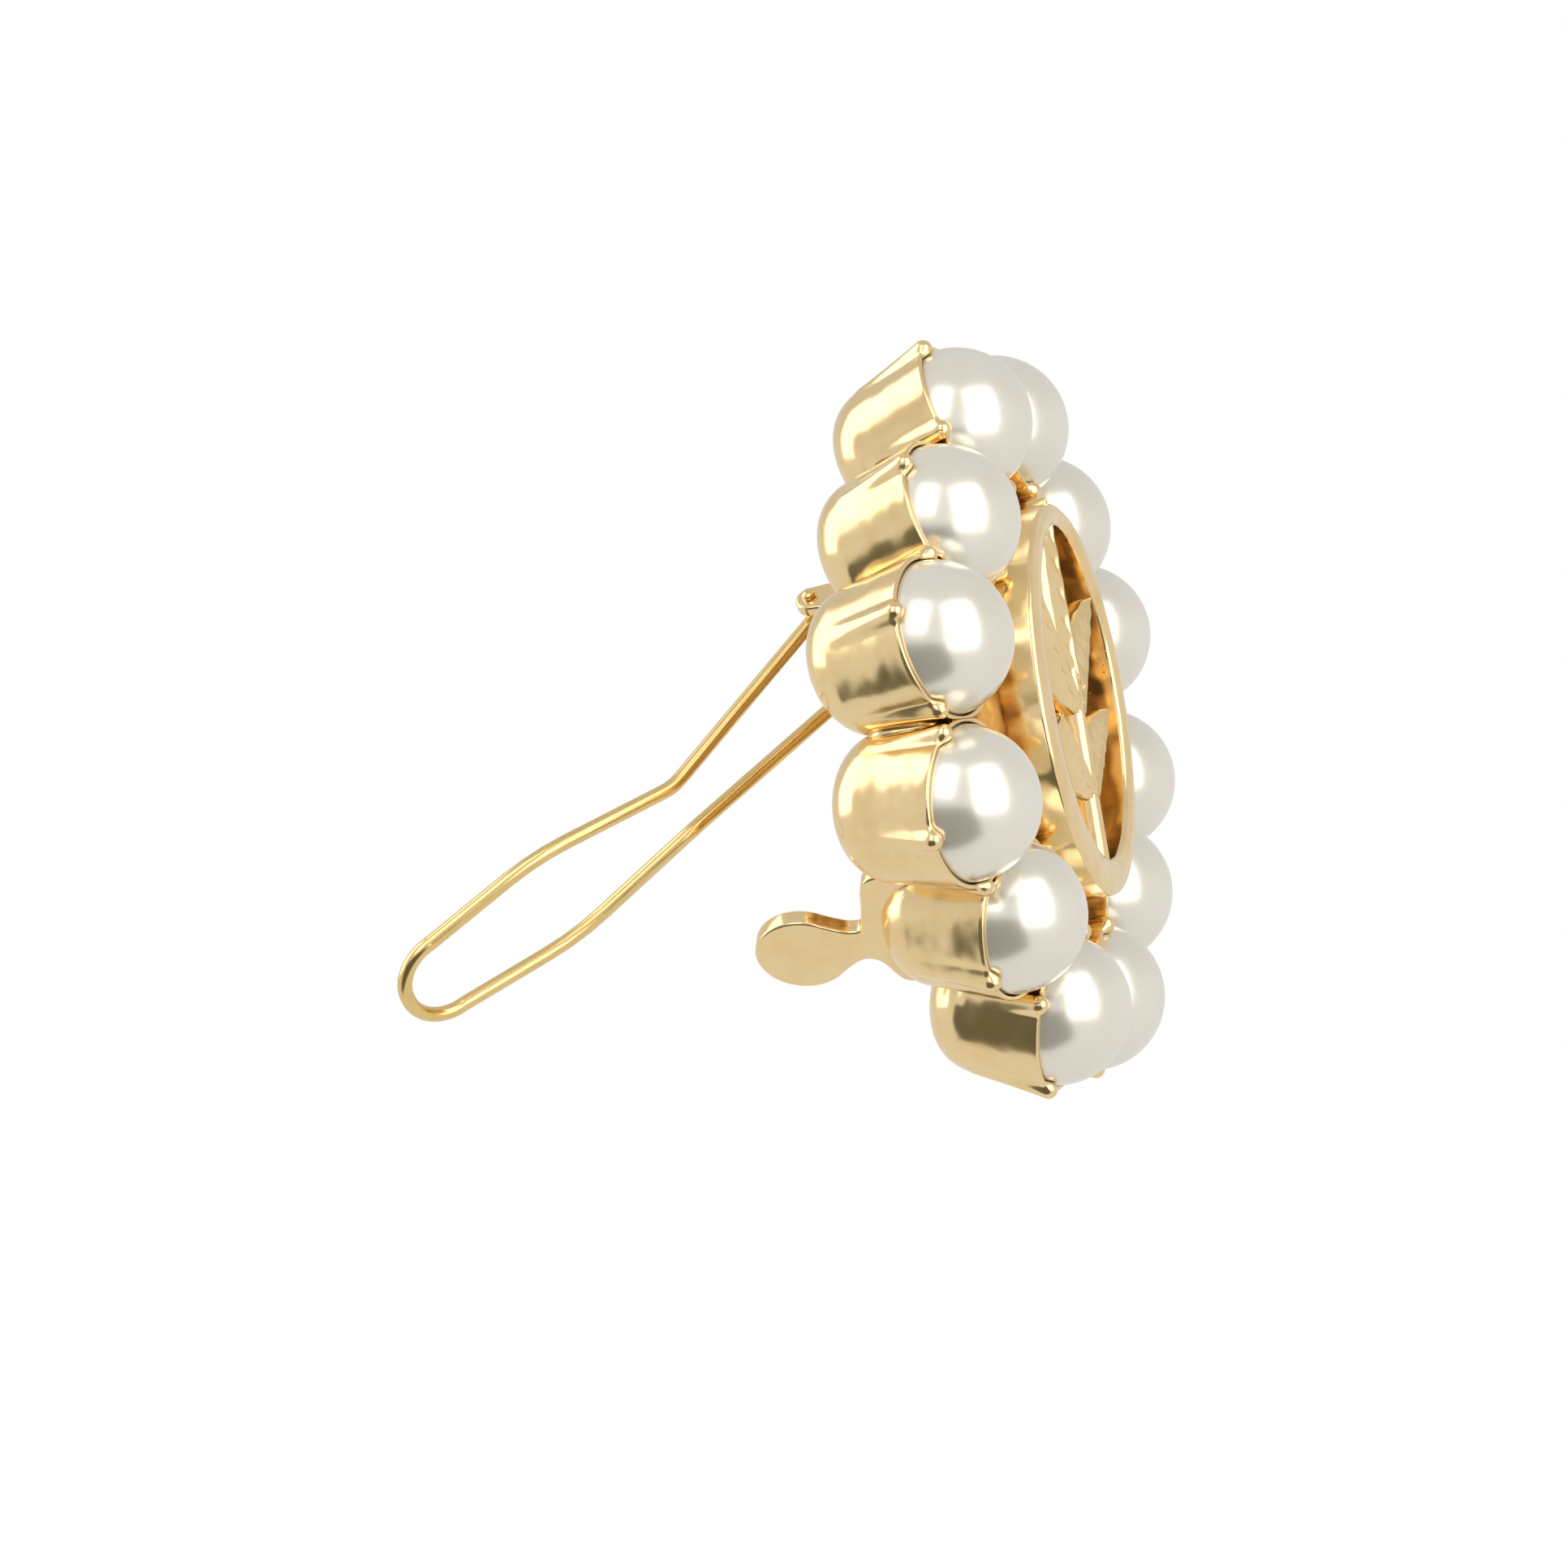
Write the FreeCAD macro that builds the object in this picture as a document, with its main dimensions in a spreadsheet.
import FreeCAD
import Part
import os
from math import cos, radians, sin, tan

# A hair barrette: twelve imitation pearls, each glued on a post in its own deep cup, stand in an
# oval ring round a raised leaf emblem on a base plate.  Behind it a sprung wire loop turns in a
# two-eared bracket and snaps over a paddle-shaped catch.
#
# Frame: +Z up along the oval, +X to the wearer's left as the front is looked at, -Y to the front.
# The origin is the middle of the base plate's back face, which is where the hair lies.
# Millimetres and degrees.

os.makedirs("parts", exist_ok=True)
doc = FreeCAD.newDocument("barrette")
sheet = doc.addObject("Spreadsheet::Sheet", "sizes")

SIZES = [
    ("pearl_diameter", 10.0, "one imitation pearl"),
    ("pearl_gap", 0.3, "between neighbouring pearls"),
    ("upper_slope", 40.0, "fall of the line from the first pearl to the second"),
    ("side_slope", 47.0, "fall of the line from the second pearl to the third"),
    ("cup_tilt", 17.0, "each cup leans outward by this"),
    ("pearl_clearance", 0.05, "glue space round a pearl"),
    ("cup_lip", 0.32, "wall at the rim"),
    ("cup_wall", 0.5, "wall at the bottom"),
    ("cup_depth", 8.6, "rim to the outside of the bottom"),
    ("cup_rise", 0.7, "rim in front of the pearl's centre, along the cup"),
    ("cup_narrowing", 0.75, "how much less the bottom radius is than the rim's"),
    ("cup_round", 3.2, "outer corner round at the bottom"),
    ("post_radius", 0.5, "post that a pearl is glued on"),
    ("post_reach", 2.6, "how far the post goes into the pearl"),
    ("post_clearance", 0.05, "glue space round the post"),
    ("prong_radius", 0.62, "bead at the top of a prong"),
    ("prong_foot", 0.4, "radius of the rib where it dies out"),
    ("prong_length", 5.6, "rib down the side of the cup"),
    ("prong_spread", 78.0, "side prongs, turned from the outward one"),
    ("solder_gap", 0.04, "between the flats of two cups"),
    ("pearl_plane", 1.8, "pearl centres in front of the plate's back face"),
    ("plate_inset", 3.3, "plate's edge inside the widest pearl centres"),
    ("plate_extra_height", 0.4, "how much taller than wide it is, each way"),
    ("plate_thickness", 1.2, "base plate"),
    ("emblem_gap", 0.2, "between the emblem and the nearest prongs"),
    ("emblem_extra_height", 1.0, "how much taller than wide the rim is, each way"),
    ("emblem_height", 5.0, "stands this far in front of the plate"),
    ("rim_wide", 2.9, "width of the oval rim on its wide side"),
    ("rim_narrow", 1.6, "width of the oval rim on its narrow side"),
    ("rim_ends", 2.0, "width of the oval rim at top and bottom"),
    ("stem_width", 1.4, "stem of the sprig"),
    ("leaf_length", 10.0, "one leaf"),
    ("leaf_width", 3.3, "one leaf"),
    ("clip_diagonal", 45.0, "the clip lies across the back at this angle"),
    ("hinge_offset", 9.2, "hinge axis from the middle, along the diagonal"),
    ("hinge_rise", 5.86, "hinge axis behind the backs of the cups"),
    ("catch_inset", 0.3, "catch inside the pearl centre that it stands behind"),
    ("wire_diameter", 1.0, "spring wire"),
    ("loop_open", 38.0, "hinge end of the loop against the plate, as stored"),
    ("loop_bend", 15.0, "the loop is bent back at its waist by this"),
    ("hinge_half_width", 3.75, "middle of one leg of the loop, at the hinge"),
    ("waist_half_width", 2.1, "the same at the waist"),
    ("belly_half_width", 4.0, "the same at the widest place"),
    ("tip_half_width", 3.1, "the same where the tip curve starts"),
    ("waist_at", 15.8, "hinge axis to the waist"),
    ("belly_after", 10.5, "waist to the widest place"),
    ("tip_after", 19.4, "waist to the start of the tip curve"),
    ("stub_bend", 0.8, "bend radius of the turned wire ends"),
    ("waist_bend", 4.0, "bend radius at the waist"),
    ("belly_bend", 17.0, "bend radius at the widest place"),
    ("hinge_play", 0.06, "radial clearance of the wire in its ears"),
    ("ear_gap", 0.3, "between a leg and its ear"),
    ("ear_thickness", 0.9, "one ear of the bracket"),
    ("ear_radius", 1.05, "round top of an ear"),
    ("ear_foot_width", 4.4, "one ear where it leaves the foot"),
    ("foot_thickness", 0.9, "foot of the bracket"),
    ("catch_thickness", 1.2, "catch tab"),
    ("head_half_width", 3.05, "paddle head of the catch"),
    ("head_rise", 5.86, "middle of the head behind the backs of the cups"),
    ("neck_half_width", 1.35, "neck of the catch"),
    ("neck_rise", 2.06, "neck behind the backs of the cups"),
    ("root_half_width", 5.0, "flared root of the catch"),
    ("root_rise", 0.2, "widest place of the root behind the backs of the cups"),
    ("root_drop", 2.6, "front edge of the root in front of the backs of the cups"),
]

for row, (name, value, note) in enumerate(SIZES, start=1):
    sheet.set("A%d" % row, str(value))
    sheet.setAlias("A%d" % row, name)
    sheet.set("B%d" % row, note)
doc.recompute()


def size(name):
    """The value that the sheet holds now for one named size."""
    return float(sheet.get(name))


def add(kind, name, placement=None, **expressions):
    """Adds one object and binds its properties, and its place, to cells of the sheet."""
    made = doc.addObject(kind, name)
    for prop, expression in expressions.items():
        made.setExpression(prop, expression)
    if placement:
        made.setExpression("Placement", placement)
    return made


def cut(name, base, tool):
    made = doc.addObject("Part::Cut", name)
    made.Base = base
    made.Tool = tool
    return made


def fuse(name, pieces):
    made = doc.addObject("Part::MultiFuse", name)
    made.Shapes = pieces
    return made


def group(name, pieces, placement=None):
    """The same solids again, at a place of their own."""
    made = add("Part::Compound", name, placement)
    made.Links = pieces
    return made


def rounded(name, base, height, radius):
    """Rounds the circular edge of base that lies at the given local height."""
    doc.recompute()
    edges = [number for number, edge in enumerate(base.Shape.Edges, start=1)
             if abs(edge.BoundBox.ZMin - height) < 1e-6 and abs(edge.BoundBox.ZMax - height) < 1e-6]
    made = doc.addObject("Part::Fillet", name)
    made.Base = base
    made.Edges = [(number, radius, radius) for number in edges]
    return made


PEARL_RADIUS = "sizes.pearl_diameter / 2"
ROOM_RADIUS = "(sizes.pearl_diameter / 2 + sizes.pearl_clearance)"
RIM_RADIUS = "(sizes.pearl_diameter / 2 + sizes.pearl_clearance + sizes.cup_lip)"
PITCH = "(sizes.pearl_diameter + sizes.pearl_gap)"
CUP_BACK = ("((sizes.cup_depth - sizes.cup_rise - sizes.cup_round) * cos(sizes.cup_tilt)"
            " + (%s - sizes.cup_narrowing - sizes.cup_round) * sin(sizes.cup_tilt)"
            " + sizes.cup_round - sizes.pearl_plane)" % RIM_RADIUS)
HINGE_HEIGHT = "(%s + sizes.hinge_rise)" % CUP_BACK

# ---------------------------------------------------------------- where the pearls sit
# Twelve equal steps go round the ring.  One quarter has three seats, and the other quarters
# mirror them.  Each seat is its place, x and z, and the angle of its outward direction.
QUARTER = [
    ("%s * 0.5" % PITCH,
     "%s * (0.5 + sin(sizes.side_slope) + sin(sizes.upper_slope))" % PITCH,
     "(90 - sizes.upper_slope / 2)"),
    ("%s * (0.5 + cos(sizes.upper_slope))" % PITCH,
     "%s * (0.5 + sin(sizes.side_slope))" % PITCH,
     "(90 - (sizes.upper_slope + sizes.side_slope) / 2)"),
    ("%s * (0.5 + cos(sizes.upper_slope) + cos(sizes.side_slope))" % PITCH,
     "%s * 0.5" % PITCH,
     "((90 - sizes.side_slope) / 2)"),
]


def ring_seats():
    """All twelve seats, clockwise from the upper right one as seen from the front."""
    seats = []
    for x, z, turn in QUARTER:
        seats.append((x, z, turn))
    for x, z, turn in reversed(QUARTER):
        seats.append((x, "-" + z, "-" + turn))
    for x, z, turn in QUARTER:
        seats.append(("-" + x, "-" + z, "180 + " + turn))
    for x, z, turn in reversed(QUARTER):
        seats.append(("-" + x, z, "180 - " + turn))
    return seats


SEATS = ring_seats()
DIAGONAL_SEAT = "sqrt((%s) ^ 2 + (%s) ^ 2)" % (QUARTER[1][0], QUARTER[1][1])
WIDEST_SEAT = QUARTER[2][0]
CATCH_OFFSET = "(%s - sizes.catch_inset)" % DIAGONAL_SEAT
PLATE_HALF_WIDTH = "(%s - sizes.plate_inset)" % WIDEST_SEAT
EMBLEM_HALF_WIDTH = ("(%s - (%s + sizes.prong_radius) * cos(sizes.cup_tilt)"
                     " - sizes.emblem_extra_height / 2 - sizes.emblem_gap)" % (DIAGONAL_SEAT, RIM_RADIUS))


def seat_placement(seat):
    """Puts local +Z along the cup's axis, to the front, and local +X outward from the ring."""
    x, z, turn = seat
    return ("placement(vector(%s; -sizes.pearl_plane; %s); rotation(vector(1; 0; 0); 90)"
            " * rotation(vector(0; 0; 1); %s) * rotation(vector(0; 1; 0); sizes.cup_tilt))" % (x, z, turn))


# ---------------------------------------------------------------- pearl and cup blanks
def make_pearl_blank():
    ball = add("Part::Sphere", "pearl_ball", Radius=PEARL_RADIUS)
    drill = add("Part::Cylinder", "pearl_drill",
                "placement(vector(0; 0; -sizes.pearl_diameter); rotation(0; 0; 0))",
                Radius="sizes.post_radius + sizes.post_clearance",
                Height="sizes.pearl_diameter / 2 + sizes.post_reach + sizes.post_clearance")
    return cut("pearl_blank", ball, drill)


def make_prong(number, turn):
    """A tapered rib down the outside of the cup with a bead at its top, at one angle."""
    lean = "atan(sizes.cup_narrowing / sizes.cup_depth)"
    around = "placement(vector(0; 0; 0); rotation(vector(0; 0; 1); %s))" % turn
    rib = add("Part::Cone", "prong_rib_%d" % number,
              "placement(vector(%s - sizes.prong_length * tan(%s); 0; -sizes.prong_length);"
              " rotation(vector(0; 1; 0); %s))" % (RIM_RADIUS, lean, lean),
              Radius1="sizes.prong_foot", Radius2="sizes.prong_radius", Height="sizes.prong_length")
    bead = add("Part::Sphere", "prong_bead_%d" % number,
               "placement(vector(%s; 0; 0); rotation(0; 0; 0))" % RIM_RADIUS, Radius="sizes.prong_radius")
    foot = add("Part::Sphere", "prong_foot_%d" % number,
               "placement(vector(%s - sizes.prong_length * tan(%s); 0; -sizes.prong_length);"
               " rotation(0; 0; 0))" % (RIM_RADIUS, lean), Radius="sizes.prong_foot")
    return group("prong_%d" % number, [fuse("prong_solid_%d" % number, [rib, bead, foot])], around)


def make_cup_blanks():
    """The cup round its pearl's centre, as a closed outer body and as the finished hollow cup."""
    outer_cone = add("Part::Cone", "cup_outer_cone",
                     "placement(vector(0; 0; -sizes.cup_depth); rotation(0; 0; 0))",
                     Radius1="%s - sizes.cup_narrowing" % RIM_RADIUS, Radius2=RIM_RADIUS,
                     Height="sizes.cup_depth")
    outer = rounded("cup_outer", outer_cone, -size("cup_depth"), size("cup_round"))
    turns = ["0", "sizes.prong_spread", "180", "-sizes.prong_spread"]
    prongs = [make_prong(number, turn) for number, turn in enumerate(turns, start=1)]
    solid = fuse("cup_solid", [outer] + prongs)

    inner_depth = "(sizes.cup_depth - sizes.cup_wall)"
    inner_cone = add("Part::Cone", "cup_inner_cone",
                     "placement(vector(0; 0; -%s); rotation(0; 0; 0))" % inner_depth,
                     Radius1="%s - sizes.cup_narrowing - sizes.cup_wall" % RIM_RADIUS, Radius2=ROOM_RADIUS,
                     Height=inner_depth)
    inner = rounded("cup_inner", inner_cone, size("cup_wall") - size("cup_depth"),
                    size("cup_round") - size("cup_wall"))
    room = add("Part::Sphere", "pearl_room", "placement(vector(0; 0; -sizes.cup_rise); rotation(0; 0; 0))",
               Radius=ROOM_RADIUS)
    hollow = cut("cup_hollow", cut("cup_shell", solid, inner), room)
    post = add("Part::Cylinder", "pearl_post",
               "placement(vector(0; 0; -%s - sizes.cup_wall / 2); rotation(0; 0; 0))" % inner_depth,
               Radius="sizes.post_radius",
               Height="%s + sizes.cup_wall / 2 - sizes.cup_rise - sizes.pearl_diameter / 2"
                      " + sizes.post_reach" % inner_depth)
    raised = "placement(vector(0; 0; sizes.cup_rise); rotation(0; 0; 0))"
    blank = group("cup_blank", [fuse("cup_posted", [hollow, post])], raised)
    return group("cup_body", [solid], raised), blank


pearl_blank = make_pearl_blank()
cup_solid, cup_blank = make_cup_blanks()


# ---------------------------------------------------------------- the ring of cups
def make_divider(name, seat, other):
    """The half space beyond the flat between two cups, as a big box on the other cup's side."""
    x, z = seat[0], seat[1]
    ox, oz = other[0], other[1]
    reach = "sizes.pearl_diameter"
    alpha = "atan2((%s) - (%s); (%s) - (%s))" % (oz, z, ox, x)
    turn = "rotation(vector(0; 1; 0); -%s)" % alpha
    middle = "vector(((%s) + (%s)) / 2; -sizes.pearl_plane; ((%s) + (%s)) / 2)" % (x, ox, z, oz)
    corner = "vector(-sizes.solder_gap / 2; -1.5 * %s; -%s)" % (reach, reach)
    return add("Part::Box", name, "placement(%s + %s * %s; %s)" % (middle, turn, corner, turn),
               Length=reach, Width="3 * " + reach, Height="2 * " + reach)


def make_ring():
    """Twelve cups with flats where they are soldered to each other, and their pearls."""
    count = len(SEATS)
    hulls = []
    nodes = []
    for number, seat in enumerate(SEATS, start=1):
        before = SEATS[(number - 2) % count]
        after = SEATS[number % count]
        place = seat_placement(seat)
        flats = fuse("cup_flats_%02d" % number, [make_divider("flat_before_%02d" % number, seat, before),
                                                 make_divider("flat_after_%02d" % number, seat, after)])
        cup = cut("cup_%02d" % number, group("cup_placed_%02d" % number, [cup_blank], place), flats)
        pearl = group("pearl_%02d" % number, [pearl_blank], place)
        hulls.append(group("cup_hull_%02d" % number, [cup_solid], place))
        nodes.append(cup)
        nodes.append(pearl)
    return nodes, hulls


ring_nodes, cup_hulls = make_ring()


# ---------------------------------------------------------------- base plate and emblem
def oval(name, half_width, extra_height, middle_x, height):
    """An upright oval prism: local x across, local y up the oval, local z to the front."""
    line = add("Part::Ellipse", name + "_line",
               "placement(vector(%s; 0; 0); rotation(vector(0; 0; 1); 90))" % middle_x,
               MajorRadius="%s + %s" % (half_width, extra_height), MinorRadius=half_width)
    prism = add("Part::Extrusion", name, LengthFwd=height)
    prism.Base = line
    prism.DirMode = "Custom"
    prism.Dir = FreeCAD.Vector(0, 0, 1)
    prism.Solid = True
    return prism


def make_base_plate():
    """A flat oval plate whose edge is scalloped to meet each cup."""
    blank = oval("plate_oval", PLATE_HALF_WIDTH, "sizes.plate_extra_height", "0",
                 "sizes.plate_thickness")
    placed = group("plate_placed", [blank], "placement(vector(0; 0; 0); rotation(vector(1; 0; 0); 90))")
    return cut("base_plate", placed, fuse("cup_hulls", cup_hulls))


def make_leaf(number, base_x, base_y, lean, stretch):
    """A pointed leaf, where two discs overlap, from its stalk end and leaning by an angle."""
    length = "(sizes.leaf_length * %s)" % stretch
    radius = "((%s ^ 2 + sizes.leaf_width ^ 2) / (4 * sizes.leaf_width))" % length
    discs = []
    for side in ("-", ""):
        discs.append(add("Part::Cylinder", "leaf_disc_%d%s" % (number, "a" if side else "b"),
                         "placement(vector(%s / 2; %s(%s - sizes.leaf_width / 2); 0); rotation(0; 0; 0))"
                         % (length, side, radius),
                         Radius=radius, Height="sizes.emblem_height"))
    lens = doc.addObject("Part::MultiCommon", "leaf_lens_%d" % number)
    lens.Shapes = discs
    return group("leaf_%d" % number, [lens],
                 "placement(vector(%s; %s; 0); rotation(vector(0; 0; 1); %s))" % (base_x, base_y, lean))


def make_emblem():
    """An open oval rim, wider on one side, with a sprig of five leaves across it."""
    middle = "(sizes.rim_wide - sizes.rim_narrow) / 2"
    outer = oval("rim_outer", EMBLEM_HALF_WIDTH, "sizes.emblem_extra_height", "0", "sizes.emblem_height")
    inner = oval("rim_inner", "(%s - (sizes.rim_wide + sizes.rim_narrow) / 2)" % EMBLEM_HALF_WIDTH,
                 "(sizes.emblem_extra_height + (sizes.rim_wide + sizes.rim_narrow) / 2 - sizes.rim_ends)",
                 middle, "sizes.emblem_height")
    rim = cut("rim", outer, inner)
    half_height = "(%s + sizes.emblem_extra_height)" % EMBLEM_HALF_WIDTH
    stem = add("Part::Box", "stem",
               "placement(vector(-sizes.stem_width / 2; sizes.rim_ends / 2 - %s; 0); rotation(0; 0; 0))"
               % half_height,
               Length="sizes.stem_width", Width="%s + sizes.leaf_length * 0.3" % half_height,
               Height="sizes.emblem_height")
    low = "-0.5 * %s" % half_height
    leaves = [
        make_leaf(1, "0", low, "40", "0.9"),
        make_leaf(2, "0", low, "140", "0.9"),
        make_leaf(3, "0", "-0.1 * sizes.leaf_length", "48", "1.05"),
        make_leaf(4, "0", "-0.1 * sizes.leaf_length", "132", "1.3"),
        make_leaf(5, "0", "0.1 * sizes.leaf_length", "95", "1.25"),
    ]
    solid = fuse("emblem_solid", [rim, stem] + leaves)
    return group("leaf_emblem", [solid],
                 "placement(vector(0; -sizes.plate_thickness; 0); rotation(vector(1; 0; 0); 90))")


# ---------------------------------------------------------------- the clip on the back
# The clip has its own frame on the back of the plate: local x runs along the diagonal from the
# hinge to the catch, local y is the row's +Y, and local z runs along the hinge axis.
CLIP_TURN = "rotation(vector(0; 1; 0); 90 + sizes.clip_diagonal)"
CLIP_PLACE = "placement(vector(0; 0; 0); %s)" % CLIP_TURN


def make_ear(name, side):
    """One ear: it narrows from the foot to a round top with the hinge hole in it."""
    inner = "(sizes.hinge_half_width + sizes.wire_diameter / 2 + sizes.ear_gap)"
    start = inner if side > 0 else "(-%s - sizes.ear_thickness)" % inner
    axis = "vector(-sizes.hinge_offset; %s; %s)" % (HINGE_HEIGHT, start)
    top = add("Part::Cylinder", name + "_top", "placement(%s; rotation(0; 0; 0))" % axis,
              Radius="sizes.ear_radius", Height="sizes.ear_thickness")
    blade = add("Part::Wedge", name + "_blade",
                "placement(vector(-sizes.hinge_offset; 0; %s); rotation(0; 0; 0))" % start,
                Xmin="-sizes.ear_foot_width / 2", Xmax="sizes.ear_foot_width / 2",
                X2min="-sizes.ear_radius", X2max="sizes.ear_radius",
                Ymin="0", Ymax=HINGE_HEIGHT, Zmin="0", Zmax="sizes.ear_thickness",
                Z2min="0", Z2max="sizes.ear_thickness")
    return [top, blade]


def make_hinge_bracket():
    outer = "(sizes.hinge_half_width + sizes.wire_diameter / 2 + sizes.ear_gap + sizes.ear_thickness)"
    foot = add("Part::Box", "bracket_foot",
               "placement(vector(-sizes.hinge_offset - sizes.ear_foot_width / 2; 0; -%s); rotation(0; 0; 0))"
               % outer,
               Length="sizes.ear_foot_width", Width="sizes.foot_thickness", Height="2 * " + outer)
    body = fuse("bracket_solid", [foot] + make_ear("ear_left", -1) + make_ear("ear_right", 1))
    hole = add("Part::Cylinder", "bracket_hole",
               "placement(vector(-sizes.hinge_offset; %s; -%s); rotation(0; 0; 0))" % (HINGE_HEIGHT, outer),
               Radius="sizes.wire_diameter / 2 + sizes.hinge_play", Height="2 * " + outer)
    return group("hinge_bracket", [cut("bracket_drilled", body, hole)], CLIP_PLACE)


def cup_back_now():
    """CUP_BACK as a number, for an outline that is set point by point."""
    tilt = radians(size("cup_tilt"))
    rim = size("pearl_diameter") / 2 + size("pearl_clearance") + size("cup_lip")
    behind = size("cup_depth") - size("cup_rise") - size("cup_round")
    return (behind * cos(tilt) + (rim - size("cup_narrowing") - size("cup_round")) * sin(tilt)
            + size("cup_round") - size("pearl_plane"))


def make_catch_tab():
    """A stamped plate across the diagonal: flared root, narrow neck, round paddle head."""
    cup_back = cup_back_now()
    head_height = cup_back + size("head_rise")
    flank_height = head_height - size("head_half_width") * 0.75
    outline = [
        (size("root_half_width"), cup_back - size("root_drop")),
        (size("root_half_width"), cup_back + size("root_rise")),
        (size("neck_half_width"), cup_back + size("neck_rise")),
        (size("head_half_width") * 0.66, flank_height),
    ]
    half = [FreeCAD.Vector(0, y, z) for z, y in outline]
    other = [FreeCAD.Vector(0, y, -z) for z, y in outline]
    crown = FreeCAD.Vector(0, head_height + size("head_half_width"), 0)
    side_of_head = FreeCAD.Vector(0, head_height, size("head_half_width"))

    def flank(points):
        """From the root over the neck to the head, as one smooth curve."""
        curve = Part.BSplineCurve()
        curve.interpolate(points[1:], InitialTangent=FreeCAD.Vector(0, 0.25, -points[1].z),
                          FinalTangent=FreeCAD.Vector(0, 1, points[1].z / 6))
        return curve.toShape()

    head = Part.Arc(half[3], side_of_head, crown).toShape()
    mirrored_side = FreeCAD.Vector(0, side_of_head.y, -side_of_head.z)
    other_head = Part.Arc(other[3], mirrored_side, crown).toShape()
    edges = [Part.makeLine(other[0], half[0]), Part.makeLine(half[0], half[1]), flank(half), head,
             other_head, flank(other), Part.makeLine(other[1], other[0])]
    face = Part.Face(Part.Wire(Part.__sortEdges__(edges)))
    blank = doc.addObject("Part::Feature", "catch_blank")
    blank.Shape = face.extrude(FreeCAD.Vector(size("catch_thickness"), 0, 0))
    blank.setExpression("Placement", "placement(%s * vector(%s - sizes.catch_thickness / 2; 0; 0); %s)"
                        % (CLIP_TURN, CATCH_OFFSET, CLIP_TURN))
    return cut("catch_tab", blank, fuse("catch_cups", cup_hulls[6:9]))


def bent_path(points, radii):
    """Straight runs through the points, joined by tangent arcs of the given radii."""
    edges = []
    start = points[0]
    for before, corner, after, radius in zip(points, points[1:], points[2:], radii):
        into = (corner - before).normalize()
        out = (after - corner).normalize()
        turn = into.getAngle(out)
        back = radius * tan(turn / 2)
        first = corner - into * back
        last = corner + out * back
        inward = (out - into).normalize()
        centre = corner + inward * (radius ** 2 + back ** 2) ** 0.5
        edges.append(Part.makeLine(start, first))
        edges.append(Part.Arc(first, centre - inward * radius, last).toShape())
        start = last
    edges.append(Part.makeLine(start, points[-1]))
    return Part.Wire(edges)


def make_wire_loop():
    """One length of spring wire, bent to a waisted loop with its ends turned out into the ears.

    Local x runs down the loop, local z across it, and it bends towards local y at the waist.
    A bent wire in space has no primitive of its own, so its sweep is set here as a shape.
    """
    bend = radians(size("loop_bend"))
    down = FreeCAD.Vector(1, tan(bend), 0).normalize()
    waist = FreeCAD.Vector(size("waist_at"), 0, 0)
    belly = waist + down * size("belly_after")
    tip = waist + down * size("tip_after")
    end = tip + down * size("tip_half_width")
    across = FreeCAD.Vector(0, 0, 1)
    stub = (size("hinge_half_width") + size("wire_diameter") / 2 + size("ear_gap") + size("ear_thickness")
            + size("ear_gap"))
    one_side = [
        FreeCAD.Vector(0, 0, stub),
        FreeCAD.Vector(0, 0, size("hinge_half_width")),
        waist + across * size("waist_half_width"),
        belly + across * size("belly_half_width"),
        tip + across * size("tip_half_width"),
        end + across * size("tip_half_width"),
    ]
    other_side = [FreeCAD.Vector(point.x, point.y, -point.z) for point in reversed(one_side)]
    side_radii = [size("stub_bend"), size("waist_bend"), size("belly_bend"), size("stub_bend"),
                  size("tip_half_width") * 0.97]
    path = bent_path(one_side + other_side, side_radii + side_radii[::-1])
    ring = Part.Wire(Part.Circle(one_side[0], across, size("wire_diameter") / 2).toShape())
    loop = doc.addObject("Part::Feature", "wire_loop")
    loop.Shape = path.makePipeShell([ring], True, False)
    length = path.Length
    expected = length * 3.14159265 * (size("wire_diameter") / 2) ** 2
    print("wire volume %.2f, section times length %.2f" % (loop.Shape.Volume, expected))
    loop.setExpression("Placement",
                       "placement(%s * vector(-sizes.hinge_offset; %s; 0);"
                       " %s * rotation(vector(0; 0; 1); sizes.loop_open))" % (CLIP_TURN, HINGE_HEIGHT, CLIP_TURN))
    return loop


nodes = ring_nodes + [make_base_plate(), make_emblem(), make_hinge_bracket(), make_catch_tab(),
                      make_wire_loop()]
doc.recompute()

for item in doc.Objects:
    if "Invalid" in item.State or "Error" in item.State:
        raise RuntimeError("%s failed: %s" % (item.Name, item.State))
for node in nodes:
    node.Label = node.Name
    if node.Shape.isNull() or not node.Shape.isValid() or not node.Shape.Solids:
        raise RuntimeError(node.Label + " has no valid solid")
for node in nodes:
    node.Shape.exportStep("parts/%s.step" % node.Label)
    print("%-14s solids %d volume %.2f mm3" % (node.Label, len(node.Shape.Solids), node.Shape.Volume))
